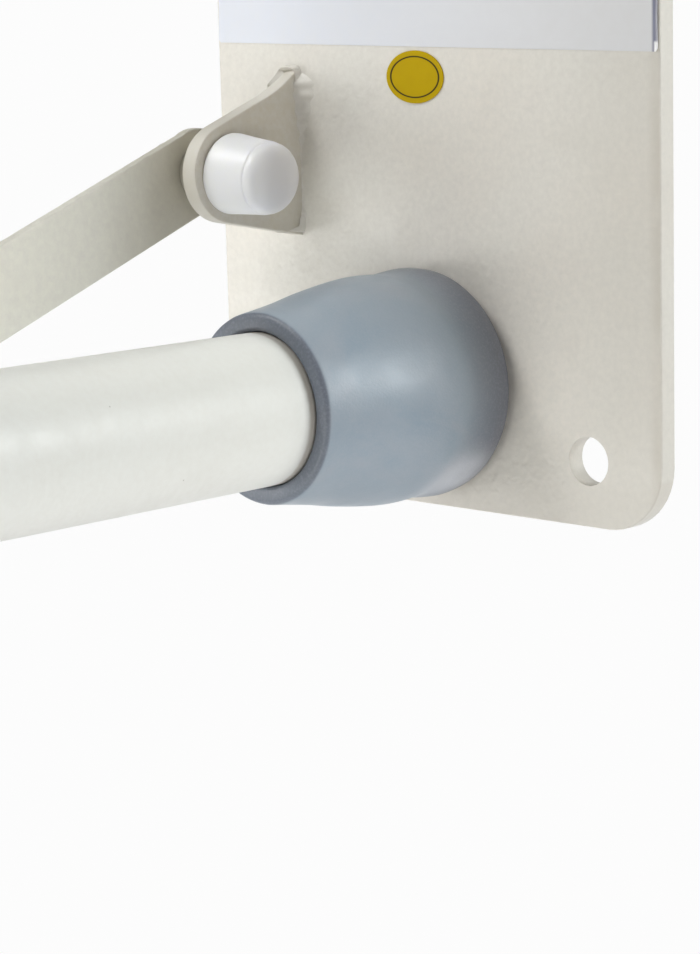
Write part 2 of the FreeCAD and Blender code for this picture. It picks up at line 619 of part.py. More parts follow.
c = sk.addConstraint(Sketcher.Constraint("DistanceX", -1, 1, i, 3, span))
sk.renameConstraint(c, "span")
sk.setExpression("Constraints.span", "sqrt(Sizes.arm_pitch ^ 2 + Sizes.leg_run ^ 2)")
c = sk.addConstraint(Sketcher.Constraint("Radius", i, D["strap_far_bore"]))
sk.renameConstraint(c, "far")
sk.setExpression("Constraints.far", "Sizes.strap_far_bore")
pocket(b, sk, "StrapBores")
run_y, run_z = D["leg_run"] / span, D["arm_pitch"] / span
node(put(b, "-Sizes.strap_face", PIVOT_Y, LINK_Z,
         Rotation(Vector(0, -run_y, -run_z), Vector(0, -run_z, run_y), Vector(-1, 0, 0), "ZXY")), "link_strap")

# ==== leg ===================================================================

LEG_TOP = "Sizes.low_level + Sizes.leg_top"
skin = cylinder("LegSkin", "Sizes.leg_radius", "Sizes.leg_length", "0", "0", "-Sizes.leg_length")
hollow = cylinder("LegHollow", "Sizes.leg_radius - Sizes.leg_wall", "Sizes.leg_length + 4", "0", "0", "-Sizes.leg_length - 2")
tools = [hollow, cylinder("LegEyePivot", "6", "40", "-20", "0", "-Sizes.leg_top", ALONG["+x"]),
         cylinder("LegEyeLink", "4.5", "20", "0", "0", "Sizes.link_level - Sizes.arm_pitch - Sizes.low_level - Sizes.leg_top", ALONG["+x"])]
for k in range(-3, 4):
    tools.append(cylinder("LegHole%d" % (k + 4), "Sizes.button_radius + 0.15", "15", "0", "-15",
                          "Sizes.hole_level + %d * Sizes.hole_pitch - Sizes.low_level - Sizes.leg_top" % k, ALONG["+y"]))
node(put(cut("LegTube", skin, *tools), LEG_X, LEG_Y, LEG_TOP), "leg_outer_tube")

flange = cone("LegCapFlange", "Sizes.leg_radius", "Sizes.leg_radius - 1.2", "2.5")
stem = cylinder("LegCapStem", "Sizes.leg_radius - Sizes.leg_wall", "8", "0", "0", "-8")
node(put(fuse("LegCap", flange, stem), LEG_X, LEG_Y, LEG_TOP), "leg_top_cap")

o = disc("LegPivotSleeve", "6", "Sizes.meight_radius + Sizes.running", "2 * Sizes.leg_radius + 0.6")
node(put(o, "-Sizes.leg_offset - Sizes.leg_radius - 0.3", LEG_Y, LOW, ALONG["+x"]), "leg_pivot_sleeve")

outer = cylinder("CollarSkin", "12.8", "26", "0", "0", "-4")
wide = cylinder("CollarSeat", "Sizes.leg_radius", "24")
slim = cylinder("CollarBore", "Sizes.inner_radius + 0.08", "12", "0", "0", "-6")
o = cut("Collar", outer, wide, slim)
node(put(o, LEG_X, LEG_Y, "Sizes.low_level + Sizes.leg_top - Sizes.leg_length"), "leg_collar")

# blind rivet nut in the leg's inner wall and the shoulder screw of the link
FLANGE = "Sizes.leg_offset - Sizes.leg_radius - Sizes.strap_face - Sizes.strap_thick - 0.1"
SCREW_X = "-Sizes.strap_face - Sizes.strap_thick - 0.1"
SCREW_SEAT = "-Sizes.strap_face + 0.2"
rim = cylinder("RivetRim", "6", FLANGE, "0", "0", "-(%s)" % FLANGE)
stem = cylinder("RivetStem", "4.5", FLANGE + " + 8", "0", "0", "-(%s) - 8" % FLANGE)
bore = cylinder("RivetBore", "Sizes.msix_radius", "20", "0", "0", "-15")
o = cut("RivetNut", fuse("RivetBlank", rim, stem), bore)
node(put(o, SCREW_X, LEG_Y, LINK_END_Z, ALONG["+x"]), "link_rivet_nut")
thread = cylinder("ScrewThread", "Sizes.msix_radius", "9", "0", "0", "-9")
shoulder_part = cylinder("ScrewShoulder", "4", "Sizes.strap_thick + 0.3")
head = hexagon("ScrewHead", "Sizes.msix_flats", "Sizes.msix_head",
               "Sizes.strap_thick + 0.3 + Sizes.msix_disc_thick")
neck = cylinder("ScrewNeck", "Sizes.msix_radius", "Sizes.msix_disc_thick + 1", "0", "0", "Sizes.strap_thick + 0.3")
o = fuse("ShoulderScrew", thread, shoulder_part, neck, head)
node(put(o, SCREW_X, LEG_Y, LINK_END_Z, ALONG["+x"]), "link_shoulder_screw")
o = disc("ScrewWasher", "Sizes.msix_disc", "Sizes.msix_radius + 0.1", "Sizes.msix_disc_thick")
node(put(o, SCREW_SEAT, LEG_Y, LINK_END_Z, ALONG["+x"]), "link_screw_washer")
o = cover("ScrewCover", "msix", *COVER_SIX)
node(put(o, SCREW_SEAT, LEG_Y, LINK_END_Z, ALONG["+x"]), "link_screw_cover")

# ==== leg foot ==============================================================

skin = cylinder("InnerSkin", "Sizes.inner_radius", "Sizes.inner_length", "0", "0", "-Sizes.inner_length")
hollow = cylinder("InnerHollow", "Sizes.inner_radius - Sizes.inner_wall", "Sizes.inner_length + 4", "0", "0", "-Sizes.inner_length - 2")
eye = cylinder("InnerEye", "Sizes.button_radius + Sizes.running", "15", "0", "-15", "Sizes.hole_level - Sizes.inner_level", ALONG["+y"])
node(put(cut("InnerTube", skin, hollow, eye), LEG_X, LEG_Y, "Sizes.inner_level"), "leg_inner_tube")

FOOT_Z = "Sizes.inner_level - Sizes.inner_length"
b = new_body("FootFerrule")
sk = sketch(b, "XZ_Plane", "FootSection")
deep, tall, bore_r = D["foot_floor"], D["foot_height"], D["inner_radius"]
side = [(17.2, 1.4), (17.4, 4.0), (16.2, 8.0), (15.0, 14.0), (14.1, 21.0), (13.4, 29.0), (12.9, tall - 0.9)]
skin = Part.BSplineCurve()
skin.interpolate([Vector(x, y, 0) for x, y in side])
outline(sk, [
    line((0, 0), (16.0, 0)),
    arc((16.0, 0), (16.85, 0.42), side[0]),
    skin,
    arc(side[-1], (12.6, tall - 0.25), (12.0, tall)),
    line((12.0, tall), (bore_r + 0.3, tall)),
    line((bore_r + 0.3, tall), (bore_r, tall - 0.7)),
    line((bore_r, tall - 0.7), (bore_r, deep - 1.5)),
    line((bore_r, deep - 1.5), (0, deep - 1.5)),
    line((0, deep - 1.5), (0, 0)),
])
revolve(b, sk, "V_Axis", "FootTurn")
node(put(b, LEG_X, LEG_Y, FOOT_Z + " - Sizes.foot_floor"), "foot_ferrule")
o = cylinder("FootDisc", "Sizes.inner_radius - 0.1", "1.5")
node(put(o, LEG_X, LEG_Y, FOOT_Z + " - 1.5"), "foot_steel_disc")

# bent leaf spring behind the snap button: front leaf, bend and back leaf
b = new_body("ButtonSpring")
sk = sketch(b, "YZ_Plane", "SpringStrip")
front, back, thick, drop = -4.9, 7.05, 0.8, 24.0
mid, r_out = (front + back) / 2, (back - front) / 2
r_in = r_out - thick
outline(sk, [
    line((front, 6), (front, -drop)),
    arc((front, -drop), (mid, -drop - r_out), (back, -drop)),
    line((back, -drop), (back, 2)),
    line((back, 2), (back - thick, 2)),
    line((back - thick, 2), (back - thick, -drop)),
    arc((back - thick, -drop), (mid, -drop - r_in), (front + thick, -drop)),
    line((front + thick, -drop), (front + thick, 6)),
    line((front + thick, 6), (front, 6)),
])
pad(b, sk, "8", "SpringPad")
node(put(b, LEG_X + " - 4", LEG_Y, "Sizes.hole_level"), "button_spring")

# ==== snap button ===========================================================

pin = cylinder("ButtonPin", "Sizes.button_radius", "5.8")
tip = cone("ButtonTip", "Sizes.button_radius", "Sizes.button_radius - 1.1", "1.5", "5.8")
foot = cylinder("ButtonFoot", "5.5", "1", "0", "0", "-1")
o = fuse("SnapButton", pin, tip, foot)
node(put(o, LEG_X, LEG_Y + " - 5.9", "Sizes.hole_level", ALONG["-y"]), "snap_button")

# ==== check and write ========================================================

doc.recompute()
for obj in doc.Objects:
    bad = [s for s in obj.State if s in ("Invalid", "Error")]
    if bad:
        raise RuntimeError("%s is %s" % (obj.Label, bad))
for obj in NODES:
    if obj.Shape.isNull() or not obj.Shape.isValid():
        raise RuntimeError("%s has no valid shape" % obj.Label)
    if not obj.Shape.Solids:
        raise RuntimeError("%s holds no solid" % obj.Label)

os.makedirs("parts", exist_ok=True)
for obj in NODES:
    obj.Shape.exportStep(os.path.join("parts", obj.Label + ".step"))
    box = obj.Shape.BoundBox
    print("%-24s solids %d  volume %9.1f  x %7.2f..%7.2f  y %8.2f..%8.2f  z %8.2f..%8.2f" % (
        obj.Label, len(obj.Shape.Solids), obj.Shape.Volume,
        box.XMin, box.XMax, box.YMin, box.YMax, box.ZMin, box.ZMax))
print(len(NODES), "nodes")
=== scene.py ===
import math

import bmesh
import bpy
from mathutils import Matrix, Vector, noise


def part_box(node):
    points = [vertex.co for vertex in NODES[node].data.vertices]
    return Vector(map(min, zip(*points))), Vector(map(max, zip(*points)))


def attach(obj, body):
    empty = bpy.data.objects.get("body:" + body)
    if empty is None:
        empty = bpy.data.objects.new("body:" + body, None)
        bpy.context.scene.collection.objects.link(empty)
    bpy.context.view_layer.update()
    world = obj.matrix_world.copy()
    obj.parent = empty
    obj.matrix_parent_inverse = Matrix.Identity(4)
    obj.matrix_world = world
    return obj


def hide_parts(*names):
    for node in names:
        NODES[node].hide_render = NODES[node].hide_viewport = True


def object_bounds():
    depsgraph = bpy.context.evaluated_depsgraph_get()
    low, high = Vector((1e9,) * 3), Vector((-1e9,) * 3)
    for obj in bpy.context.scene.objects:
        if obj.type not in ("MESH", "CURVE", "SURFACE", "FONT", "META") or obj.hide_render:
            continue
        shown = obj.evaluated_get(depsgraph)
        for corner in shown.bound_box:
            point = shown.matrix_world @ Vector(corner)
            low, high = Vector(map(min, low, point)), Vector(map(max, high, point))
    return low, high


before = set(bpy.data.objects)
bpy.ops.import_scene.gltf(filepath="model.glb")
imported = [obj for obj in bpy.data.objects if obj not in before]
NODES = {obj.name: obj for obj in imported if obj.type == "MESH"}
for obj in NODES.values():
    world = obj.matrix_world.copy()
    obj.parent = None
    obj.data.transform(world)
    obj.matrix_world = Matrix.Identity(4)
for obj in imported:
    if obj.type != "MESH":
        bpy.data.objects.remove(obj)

scene = bpy.context.scene


def corners(b):
    return [[float(v) for v in b[0]], [float(v) for v in b[1]]]


CAD_BOX = corners(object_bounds())
MM = 0.001

# ---- camera -----------------------------------------------------------------

AZ, EL, ROLL = (math.radians(v) for v in (44.0915, 10.0525, -1.5389))
back = Vector((math.sin(AZ) * math.cos(EL), -math.cos(AZ) * math.cos(EL), math.sin(EL)))
right = Vector((math.cos(AZ), math.sin(AZ), 0.0))
up = back.cross(right)
cam_x = right * math.cos(ROLL) + up * math.sin(ROLL)
cam_y = -right * math.sin(ROLL) + up * math.cos(ROLL)
cam_data = bpy.data.cameras.new("camera")
cam_data.sensor_fit = "AUTO"
cam_data.sensor_width = 36.0
cam_data.lens = 93.993
cam_data.clip_start = 0.01
cam_data.clip_end = 60.0
cam = bpy.data.objects.new("camera", cam_data)
scene.collection.objects.link(cam)
turn = Matrix((cam_x, cam_y, back)).transposed().to_4x4()
cam.matrix_world = Matrix.Translation((0.2870625, -0.3199991, -0.0346451)) @ turn
scene.camera = cam
scene.view_settings.view_transform = "Standard"

# ---- node helpers -----------------------------------------------------------


class Mat:
    """A material with its shader and a few short ways to add nodes."""

    def __init__(self, name):
        self.m = bpy.data.materials.new(name)
        self.m.use_nodes = True
        self.t = self.m.node_tree
        self.t.nodes.clear()
        self.out = self.t.nodes.new("ShaderNodeOutputMaterial")
        self.b = self.t.nodes.new("ShaderNodeBsdfPrincipled")
        self.t.links.new(self.b.outputs[0], self.out.inputs[0])
        self.co = self.t.nodes.new("ShaderNodeTexCoord").outputs["Object"]

    def link(self, a, b):
        self.t.links.new(a, b)
        return b

    def set(self, **values):
        for key, value in values.items():
            self.b.inputs[key.replace("_", " ")].default_value = value
        return self

    def noise(self, scale, detail=2.0, rough=0.5, co=None, distortion=0.0):
        n = self.t.nodes.new("ShaderNodeTexNoise")
        n.inputs["Scale"].default_value = scale
        n.inputs["Detail"].default_value = detail
        n.inputs["Roughness"].default_value = rough
        n.inputs["Distortion"].default_value = distortion
        self.link(co or self.co, n.inputs["Vector"])
        return n.outputs["Fac"]

    def voronoi(self, scale, feature="F1"):
        n = self.t.nodes.new("ShaderNodeTexVoronoi")
        n.feature = feature
        n.inputs["Scale"].default_value = scale
        self.link(self.co, n.inputs["Vector"])
        return n

    def math(self, op, a, b=0.0, c=None, clamp=False):
        n = self.t.nodes.new("ShaderNodeMath")
        n.operation = op
        n.use_clamp = clamp
        for i, v in enumerate((a, b, c)):
            if v is None:
                continue
            if isinstance(v, (int, float)):
                n.inputs[i].default_value = v
            else:
                self.link(v, n.inputs[i])
        return n.outputs[0]

    def ramp(self, fac, *stops):
        n = self.t.nodes.new("ShaderNodeValToRGB")
        r = n.color_ramp
        while len(r.elements) < len(stops):
            r.elements.new(0.5)
        for e, (pos, col) in zip(r.elements, stops):
            e.position = pos
            e.color = (*col, 1.0) if len(col) == 3 else (col[0], col[0], col[0], 1.0)
        self.link(fac, n.inputs["Fac"])
        return n.outputs["Color"]

    def mix(self, fac, a, b, mode="MIX"):
        n = self.t.nodes.new("ShaderNodeMix")
        n.data_type = "RGBA"
        n.blend_type = mode
        ins = {s.identifier: s for s in n.inputs}
        for key, v in (("Factor_Float", fac), ("A_Color", a), ("B_Color", b)):
            s = ins[key]
            if isinstance(v, (int, float)):
                s.default_value = v
            elif isinstance(v, tuple):
                s.default_value = (*v, 1.0)
            else:
                self.link(v, s)
        return [o for o in n.outputs if o.identifier == "Result_Color"][0]

    def axis(self, letter):
        n = self.t.nodes.new("ShaderNodeSeparateXYZ")
        self.link(self.co, n.inputs[0])
        return n.outputs["XYZ".index(letter)]

    def span(self, v, lo, hi, a=0.0, b=1.0, smooth=True):
        n = self.t.nodes.new("ShaderNodeMapRange")
        n.interpolation_type = "SMOOTHSTEP" if smooth else "LINEAR"
        n.inputs["From Min"].default_value = lo
        n.inputs["From Max"].default_value = hi
        n.inputs["To Min"].default_value = a
        n.inputs["To Max"].default_value = b
        self.link(v, n.inputs["Value"])
        return n.outputs[0]

    def bump(self, height, distance, strength=1.0, under=None):
        n = self.t.nodes.new("ShaderNodeBump")
        n.inputs["Strength"].default_value = strength
        n.inputs["Distance"].default_value = distance
        self.link(height, n.inputs["Height"])
        if under is not None:
            self.link(under, n.inputs["Normal"])
        return n.outputs[0]

    def color(self, v):
        self.link(v, self.b.inputs["Base Color"])
        return self

    def rough(self, v):
        self.link(v, self.b.inputs["Roughness"])
        return self

    def normal(self, v):
        self.link(v, self.b.inputs["Normal"])
        return self


# ---- materials --------------------------------------------------------------


def coat(name, peel=1.0, grime=1.0, base=(0.790, 0.750, 0.685), other=(0.780, 0.762, 0.708),
         edge=False, grit=0.6, lip=None, pivot=None):
    """Warm light-grey powder coat: orange peel, fine grit, faint stains, rare specks; where asked, also painted shade
    and shadow on the plate, at the ferrule lip and toward the strap pivot.
    """
    m = Mat(name).set(IOR=1.48)
    wide = m.noise(22.0, 3.0, 0.55)
    col = m.mix(m.ramp(wide, (0.35, (0.0,)), (0.65, (1.0,))), base, other)
    fine = m.noise(900.0, 2.0, 0.6)
    col = m.mix(m.math("MULTIPLY", m.ramp(fine, (0.30, (0.0,)), (0.72, (1.0,))), grit), col, (0.70, 0.675, 0.625))
    col = m.mix(m.math("MULTIPLY", m.ramp(m.noise(60.0, 4.0, 0.6), (0.52, (0.0,)), (0.80, (1.0,))), 0.35 * grime),
                col, (0.60, 0.575, 0.52))
    v = m.voronoi(130.0)
    rare = m.math("GREATER_THAN", m.ramp(v.outputs["Color"], (0.0, (0.0,)), (1.0, (1.0,))), 0.70)
    dot = m.math("LESS_THAN", v.outputs["Distance"], 0.028)
    col = m.mix(m.math("MULTIPLY", m.math("MULTIPLY", dot, rare), 0.5), col, (0.30, 0.28, 0.24))
    if edge:
        # painted shade growing toward the plate's right-hand side, and a painted shadow of the tube and ferrule low in
        # the middle
        x = m.axis("X")
        low = m.math("MULTIPLY", m.span(m.axis("Z"), -0.0985, -0.1130), m.span(x, -0.010, 0.010))
        painted_shade = m.math("MAXIMUM", m.span(x, 0.026, 0.045, 0.0, 0.22), m.math("MULTIPLY", low, 0.42))
        col = m.mix(painted_shade, col, (0.56, 0.53, 0.475))
        # a blotchy darker strip just inside the right-hand edge
        band = m.math("MULTIPLY", m.span(x, 0.0470, 0.0494, 0.0, 1.0), m.span(x, 0.04965, 0.04985, 1.0, 0.0))
        col = m.mix(m.math("MULTIPLY", band, m.span(m.noise(90.0, 3.0), 0.3, 0.7, 0.25, 0.60)), col, (0.56, 0.52, 0.455))
    if lip is not None:
        # painted shade: a dark brownish ring on the tube just outside the ferrule lip, where the gap shades it
        ring = m.span(m.axis("Y"), lip - 0.0013, lip - 0.0004, 0.0, 0.62)
        col = m.mix(ring, col, (0.40, 0.355, 0.30))
    if pivot is not None:
        # painted shade: the strap darkens toward the pivot, where the lug and plate shade it
        col = m.mix(m.span(m.axis("Y"), pivot - 0.028, pivot - 0.008, 0.0, 0.42), col, (0.42, 0.39, 0.31))
    m.color(col)
    m.rough(m.span(m.noise(300.0, 2.0), 0.3, 0.7, 0.36, 0.50))
    big = m.noise(430.0, 1.5, 0.45, distortion=0.4)
    n = m.bump(big, 0.00016 * peel, 1.0)
    n = m.bump(m.noise(1300.0, 2.0, 0.5), 0.00003 * peel, 1.0, n)
    m.normal(n)
    return m.m


COAT = coat("powder_coat")
COAT_PLATE = coat("powder_coat_plate", edge=True)
# darker copies of the coat for the lug: painted shade on its shaded face and, a little lighter, on its edges
COAT_SHADE = coat("powder_coat_lug_painted_shade", 0.5, 1.2, (0.650, 0.600, 0.505), (0.640, 0.605, 0.520))
COAT_RIM = coat("powder_coat_rim_painted_shade", 0.5, 1.0, (0.700, 0.662, 0.578), (0.692, 0.665, 0.592))
COAT_TUBE = coat("powder_coat_tube", 0.35, 0.5, (0.79, 0.79, 0.75), (0.785, 0.79, 0.755), grit=0.2, lip=-0.0444)
COAT_STRAP = coat("powder_coat_strap", 0.55, 1.0, (0.790, 0.765, 0.675), (0.780, 0.770, 0.690), pivot=-0.0207)


def rubber(name, front, foot=False):
    """Satin blue-grey rubber: mottled, a little dusty; except on the foot, painted shade round the wide end and on the
    lip, and a painted reflection low on the right.
    """
    m = Mat(name).set(IOR=1.5)
    cloud = m.noise(55.0, 4.0, 0.6, distortion=0.6)
    col = m.mix(m.ramp(cloud, (0.36, (0.0,)), (0.68, (1.0,))), (0.262, 0.325, 0.385), (0.305, 0.352, 0.402))
    dust = m.noise(26.0, 5.0, 0.65, distortion=1.2)
    col = m.mix(m.math("MULTIPLY", m.ramp(dust, (0.50, (0.0,)), (0.78, (1.0,))), 0.6), col, (0.400, 0.395, 0.425))
    if not foot:
        y = m.axis("Y")
        # painted shade: darker round the wide end, next to the plate
        rim = m.span(y, -0.0170, -0.0065, 0.0, 0.88)
        col = m.mix(rim, col, (0.155, 0.160, 0.188))
        # painted shade on the lip face at the narrow end
        lip = m.span(y, -0.0440, -0.0436, 0.65, 0.0)
        col = m.mix(lip, col, (0.088, 0.094, 0.128))
    if not foot:
        # painted reflection: a pale patch low on the right, near the plate, where light from below is reflected
        gap = m.t.nodes.new("ShaderNodeVectorMath")
        gap.operation = "DISTANCE"
        gap.inputs[1].default_value = (0.0135, -0.0112, -0.1082)
        m.link(m.co, gap.inputs[0])
        painted_reflection = m.math("MULTIPLY", m.span(gap.outputs["Value"], 0.0090, 0.0015), m.span(cloud, 0.25, 0.60, 0.55, 0.85))
        col = m.mix(painted_reflection, col, (0.52, 0.54, 0.585))
    grit = m.noise(2600.0, 2.0, 0.6)
    col = m.mix(m.math("MULTIPLY", m.ramp(grit, (0.45, (0.0,)), (0.75, (1.0,))), 0.25), col, (0.36, 0.38, 0.44))
    m.color(col)
    m.rough(m.span(m.noise(180.0, 3.0), 0.3, 0.7, 0.34, 0.43))
    n = m.bump(m.noise(240.0, 3.0, 0.5), 0.00010, 1.0)
    n = m.bump(grit, 0.000035, 1.0, n)
    m.normal(n)
    return m.m


RUBBER = rubber("ferrule_rubber", True)
RUBBER_FOOT = rubber("foot_rubber", False, True)


def nylon(name, axis="X", mid=None, far=None):
    """Milky nylon moulding; the domed end is a little greyer, partly painted shade where it faces away from the light
    and partly where it is hollow.
    """
    m = Mat(name).set(IOR=1.53)
    col = m.mix(m.noise(140.0, 3.0), (0.92, 0.925, 0.95), (0.89, 0.90, 0.925))
    if mid is not None:
        # painted shade on the dome, which faces away from the light, with some real greying where it is hollow
        dome = m.span(m.axis(axis), mid, far, 0.0, 0.55)
        col = m.mix(dome, col, (0.66, 0.635, 0.63))
    m.color(col)
    m.set(Subsurface_Weight=0.35, Subsurface_Scale=0.0015, Roughness=0.34)
    m.b.inputs["Subsurface Radius"].default_value = (1.0, 1.0, 1.2)
    m.normal(m.bump(m.noise(500.0, 2.0), 0.00003, 1.0))
    return m.m


NYLON = nylon("white_nylon")
NYLON_NUT = nylon("white_nylon_nut_cover", "X", -0.0215, -0.0160)


def metal(name, base, rough, scale=(1.0, 1.0, 1.0), tint=(0.74, 0.72, 0.66)):
    m = Mat(name).set(Metallic=1.0)
    n = m.t.nodes.new("ShaderNodeMapping")
    n.inputs["Scale"].default_value = scale
    m.link(m.co, n.inputs["Vector"])
    streak = m.noise(600.0, 4.0, 0.6, co=n.outputs[0])
    stain = m.noise(80.0, 4.0, 0.6)
    m.color(m.mix(m.ramp(stain, (0.45, (0.0,)), (0.8, (1.0,))), base, tint))
    m.rough(m.span(streak, 0.3, 0.7, rough - 0.06, rough + 0.10))
    m.normal(m.bump(streak, 0.00003, 1.0))
    return m.m


ZINC = metal("zinc_plate", (0.78, 0.79, 0.81), 0.30)
PLATED = metal("plated_tube", (0.74, 0.75, 0.77), 0.26, (1.0, 1.0, 0.04))
SPRING = metal("spring_steel", (0.42, 0.43, 0.46), 0.32)
NICKEL = metal("button_nickel", (0.82, 0.81, 0.79), 0.16)


def grey_plastic(name, a, b):
    m = Mat(name).set(IOR=1.5)
    m.color(m.mix(m.noise(120.0, 4.0), a, b))
    m.rough(m.span(m.noise(400.0, 3.0), 0.3, 0.7, 0.46, 0.58))
    m.normal(m.bump(m.noise(1500.0, 2.0), 0.00004, 1.0))
    return m.m


GREY = grey_plastic("grey_nylon", (0.235, 0.250, 0.272), (0.262, 0.275, 0.295))
# nylon spacer bush; its warm olive grey is painted shade, to pass for the shaded strip beside the lug
SPACER = grey_plastic("spacer_nylon", (0.46, 0.435, 0.37), (0.50, 0.475, 0.41))


def film():
    """Pale silver label film over the coat: glossy, faintly embossed by the peel below."""
    m = Mat("label_film").set(IOR=1.5)
    x = m.axis("X")
    col = m.mix(m.span(x, -0.050, 0.045, 0.0, 1.0), (0.720, 0.750, 0.830), (0.715, 0.715, 0.730))
    col = m.mix(m.math("MULTIPLY", m.ramp(m.noise(380.0, 3.0, 0.6), (0.35, (0.0,)), (0.7, (1.0,))), 0.35), col, (0.745, 0.755, 0.785))
    # painted shade with a bluish painted reflection where the right-hand edge curls off the plate
    curl = m.math("MULTIPLY", m.span(x, 0.0482, 0.0489, 0.0, 0.92), m.span(x, 0.0490, 0.0496, 1.0, 0.55))
    col = m.mix(curl, col, (0.125, 0.13, 0.215))
    # painted highlight: a small white glint at the lower right corner
    painted_glint = m.math("MULTIPLY", m.span(x, 0.0487, 0.0491), m.span(m.axis("Z"), -0.0366, -0.0371))
    col = m.mix(painted_glint, col, (0.93, 0.93, 0.95))
    m.color(col)
    m.set(Metallic=0.1)
    m.rough(m.span(m.noise(350.0, 2.0), 0.3, 0.7, 0.38, 0.46))
    m.normal(m.bump(m.noise(300.0, 1.5, 0.45), 0.00004, 1.0))
    return m.m


FILM = film()


def sticker(cx, cz, a, b, tilt):
    """Yellow oval film with a thin dark oval line set inside its edge; blank."""
    m = Mat("sticker_film").set(IOR=1.30)
    x = m.math("SUBTRACT", m.axis("X"), cx)
    z = m.math("SUBTRACT", m.axis("Z"), cz)
    c, s = math.cos(tilt), math.sin(tilt)
    u = m.math("SUBTRACT", m.math("MULTIPLY", x, c), m.math("MULTIPLY", z, s))
    w = m.math("ADD", m.math("MULTIPLY", x, s), m.math("MULTIPLY", z, c))
    inner = 1.02 * MM
    r = m.math("SQRT", m.math("ADD",
                              m.math("POWER", m.math("ABSOLUTE", m.math("DIVIDE", u, a - inner)), 2.0),
                              m.math("POWER", m.math("ABSOLUTE", m.math("DIVIDE", w, b - inner)), 2.0)))
    off = m.math("MULTIPLY", m.math("ABSOLUTE", m.math("SUBTRACT", r, 1.0)), (b - inner) / MM)
    ring = m.span(off, 0.07, 0.17, 1.0, 0.0)
    col = m.mix(m.noise(420.0, 3.0), (0.540, 0.370, 0.0), (0.500, 0.340, 0.0))
    col = m.mix(ring, col, (0.045, 0.034, 0.010))
    m.color(col)
    m.set(Roughness=0.6, Specular_IOR_Level=0.25)
    m.normal(m.bump(m.noise(430.0, 1.5, 0.45), 0.00006, 1.0))
    return m.m


# ---- mesh helpers -----------------------------------------------------------


def new_object(name, bm, material, body, smooth=True):
    mesh = bpy.data.meshes.new(name)
    bm.normal_update()
    bm.to_mesh(mesh)
    bm.free()
    obj = bpy.data.objects.new(name, mesh)
    scene.collection.objects.link(obj)
    mesh.materials.append(material)
    for p in mesh.polygons:
        p.use_smooth = smooth
    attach(obj, body)
    return obj


def lathe(name, profile, base, direction, material, body, steps=128, closed=True):
    """A closed ring profile of (radius, distance) turned round an axis; a radius
    of 0 is a pole."""
    d = Vector(direction).normalized()
    side = d.orthogonal().normalized()
    other = d.cross(side)
    bm = bmesh.new()
    rings = []
    for r, s in profile:
        mid = Vector(base) + d * s
        if r < 1e-7:
            rings.append([bm.verts.new(mid)])
        else:
            rings.append([bm.verts.new(mid + side * (r * math.cos(2 * math.pi * k / steps))
                                       + other * (r * math.sin(2 * math.pi * k / steps)))
                          for k in range(steps)])
    pairs = list(zip(rings, rings[1:]))
    if closed:
        pairs.append((rings[-1], rings[0]))
    for a, b in pairs:
        if len(a) == 1 and len(b) == 1:
            continue
        for k in range(steps):
            j = (k + 1) % steps
            if len(a) == 1:
                bm.faces.new((a[0], b[j], b[k]))
            elif len(b) == 1:
                bm.faces.new((a[k], a[j], b[0]))
            else:
                bm.faces.new((a[k], a[j], b[j], b[k]))
    bmesh.ops.recalc_face_normals(bm, faces=bm.faces)
    return new_object(name, bm, material, body)


def smooth_points(points, per=8):
    """Points along a Catmull-Rom curve through the given ones."""
    pts = [Vector((a, b, 0)) for a, b in points]
    pts = [pts[0] * 2 - pts[1]] + pts + [pts[-1] * 2 - pts[-2]]
    out = []
    for i in range(1, len(pts) - 2):
        p0, p1, p2, p3 = pts[i - 1:i + 3]
        for k in range(per):
            t = k / per
            v = 0.5 * ((2 * p1) + (p2 - p0) * t + (2 * p0 - 5 * p1 + 4 * p2 - p3) * t * t
                       + (3 * p1 - p0 - 3 * p2 + p3) * t * t * t)
            out.append((v.x, v.y))
    out.append((pts[-2].x, pts[-2].y))
    return out


def mm(points):
    return [(a * MM, b * MM) for a, b in points]


def dress(name, material, bevel=None, angle=30.0):
    """Give a CAD node its finish: seams welded, edges rounded or kept crisp."""
    obj = NODES[name]
    mesh = obj.data
    custom = mesh.attributes.get("custom_normal")
    if custom is not None:
        mesh.attributes.remove(custom)
    for p in mesh.polygons:
        p.use_smooth = True
        p.material_index = 0
    mesh.materials.clear()
    mesh.materials.append(material)
    w = obj.modifiers.new("weld", "WELD")
    w.merge_threshold = 0.000002
    if bevel:
        b = obj.modifiers.new("bevel", "BEVEL")
        b.width = bevel * MM
        b.segments = 3
        b.limit_method = "ANGLE"
        b.angle_limit = math.radians(angle)
        b.harden_normals = True
        b.use_clamp_overlap = False
        b.miter_outer = "MITER_ARC"
    else:
        e = obj.modifiers.new("crisp", "EDGE_SPLIT")
        e.split_angle = math.radians(angle)
        e.use_edge_sharp = False
    return obj


# ---- carried-over CAD nodes -------------------------------------------------

dress("wall_plate", COAT_PLATE)
dress("arm_tube", COAT_TUBE)
dress("link_strap", COAT_STRAP, 0.3)
dress("leg_outer_tube", COAT_TUBE)
dress("leg_inner_tube", PLATED)
dress("button_spring", SPRING)
dress("snap_button", NICKEL)
for n in ("hinge_bolt", "hinge_washers", "hinge_nut", "link_pivot_bolt",
          "link_pivot_washers", "link_pivot_nut", "fold_pivot_sleeve", "leg_bolt_sleeve",
          "leg_pivot_bolt", "leg_pivot_washers", "leg_stand_off", "leg_pivot_nut",
          "leg_pivot_sleeve", "link_rivet_nut", "link_shoulder_screw", "link_screw_washer",
          "foot_steel_disc"):
    dress(n, ZINC)
for n in ("hinge_bolt_covers", "leg_bolt_covers", "link_screw_cover"):
    dress(n, NYLON)
for n in ("hinge_friction_washers", "arm_end_plug", "leg_top_cap", "leg_collar"):
    dress(n, GREY)
dress("link_pivot_bush", SPACER)
dress("foot_ferrule", RUBBER_FOOT)
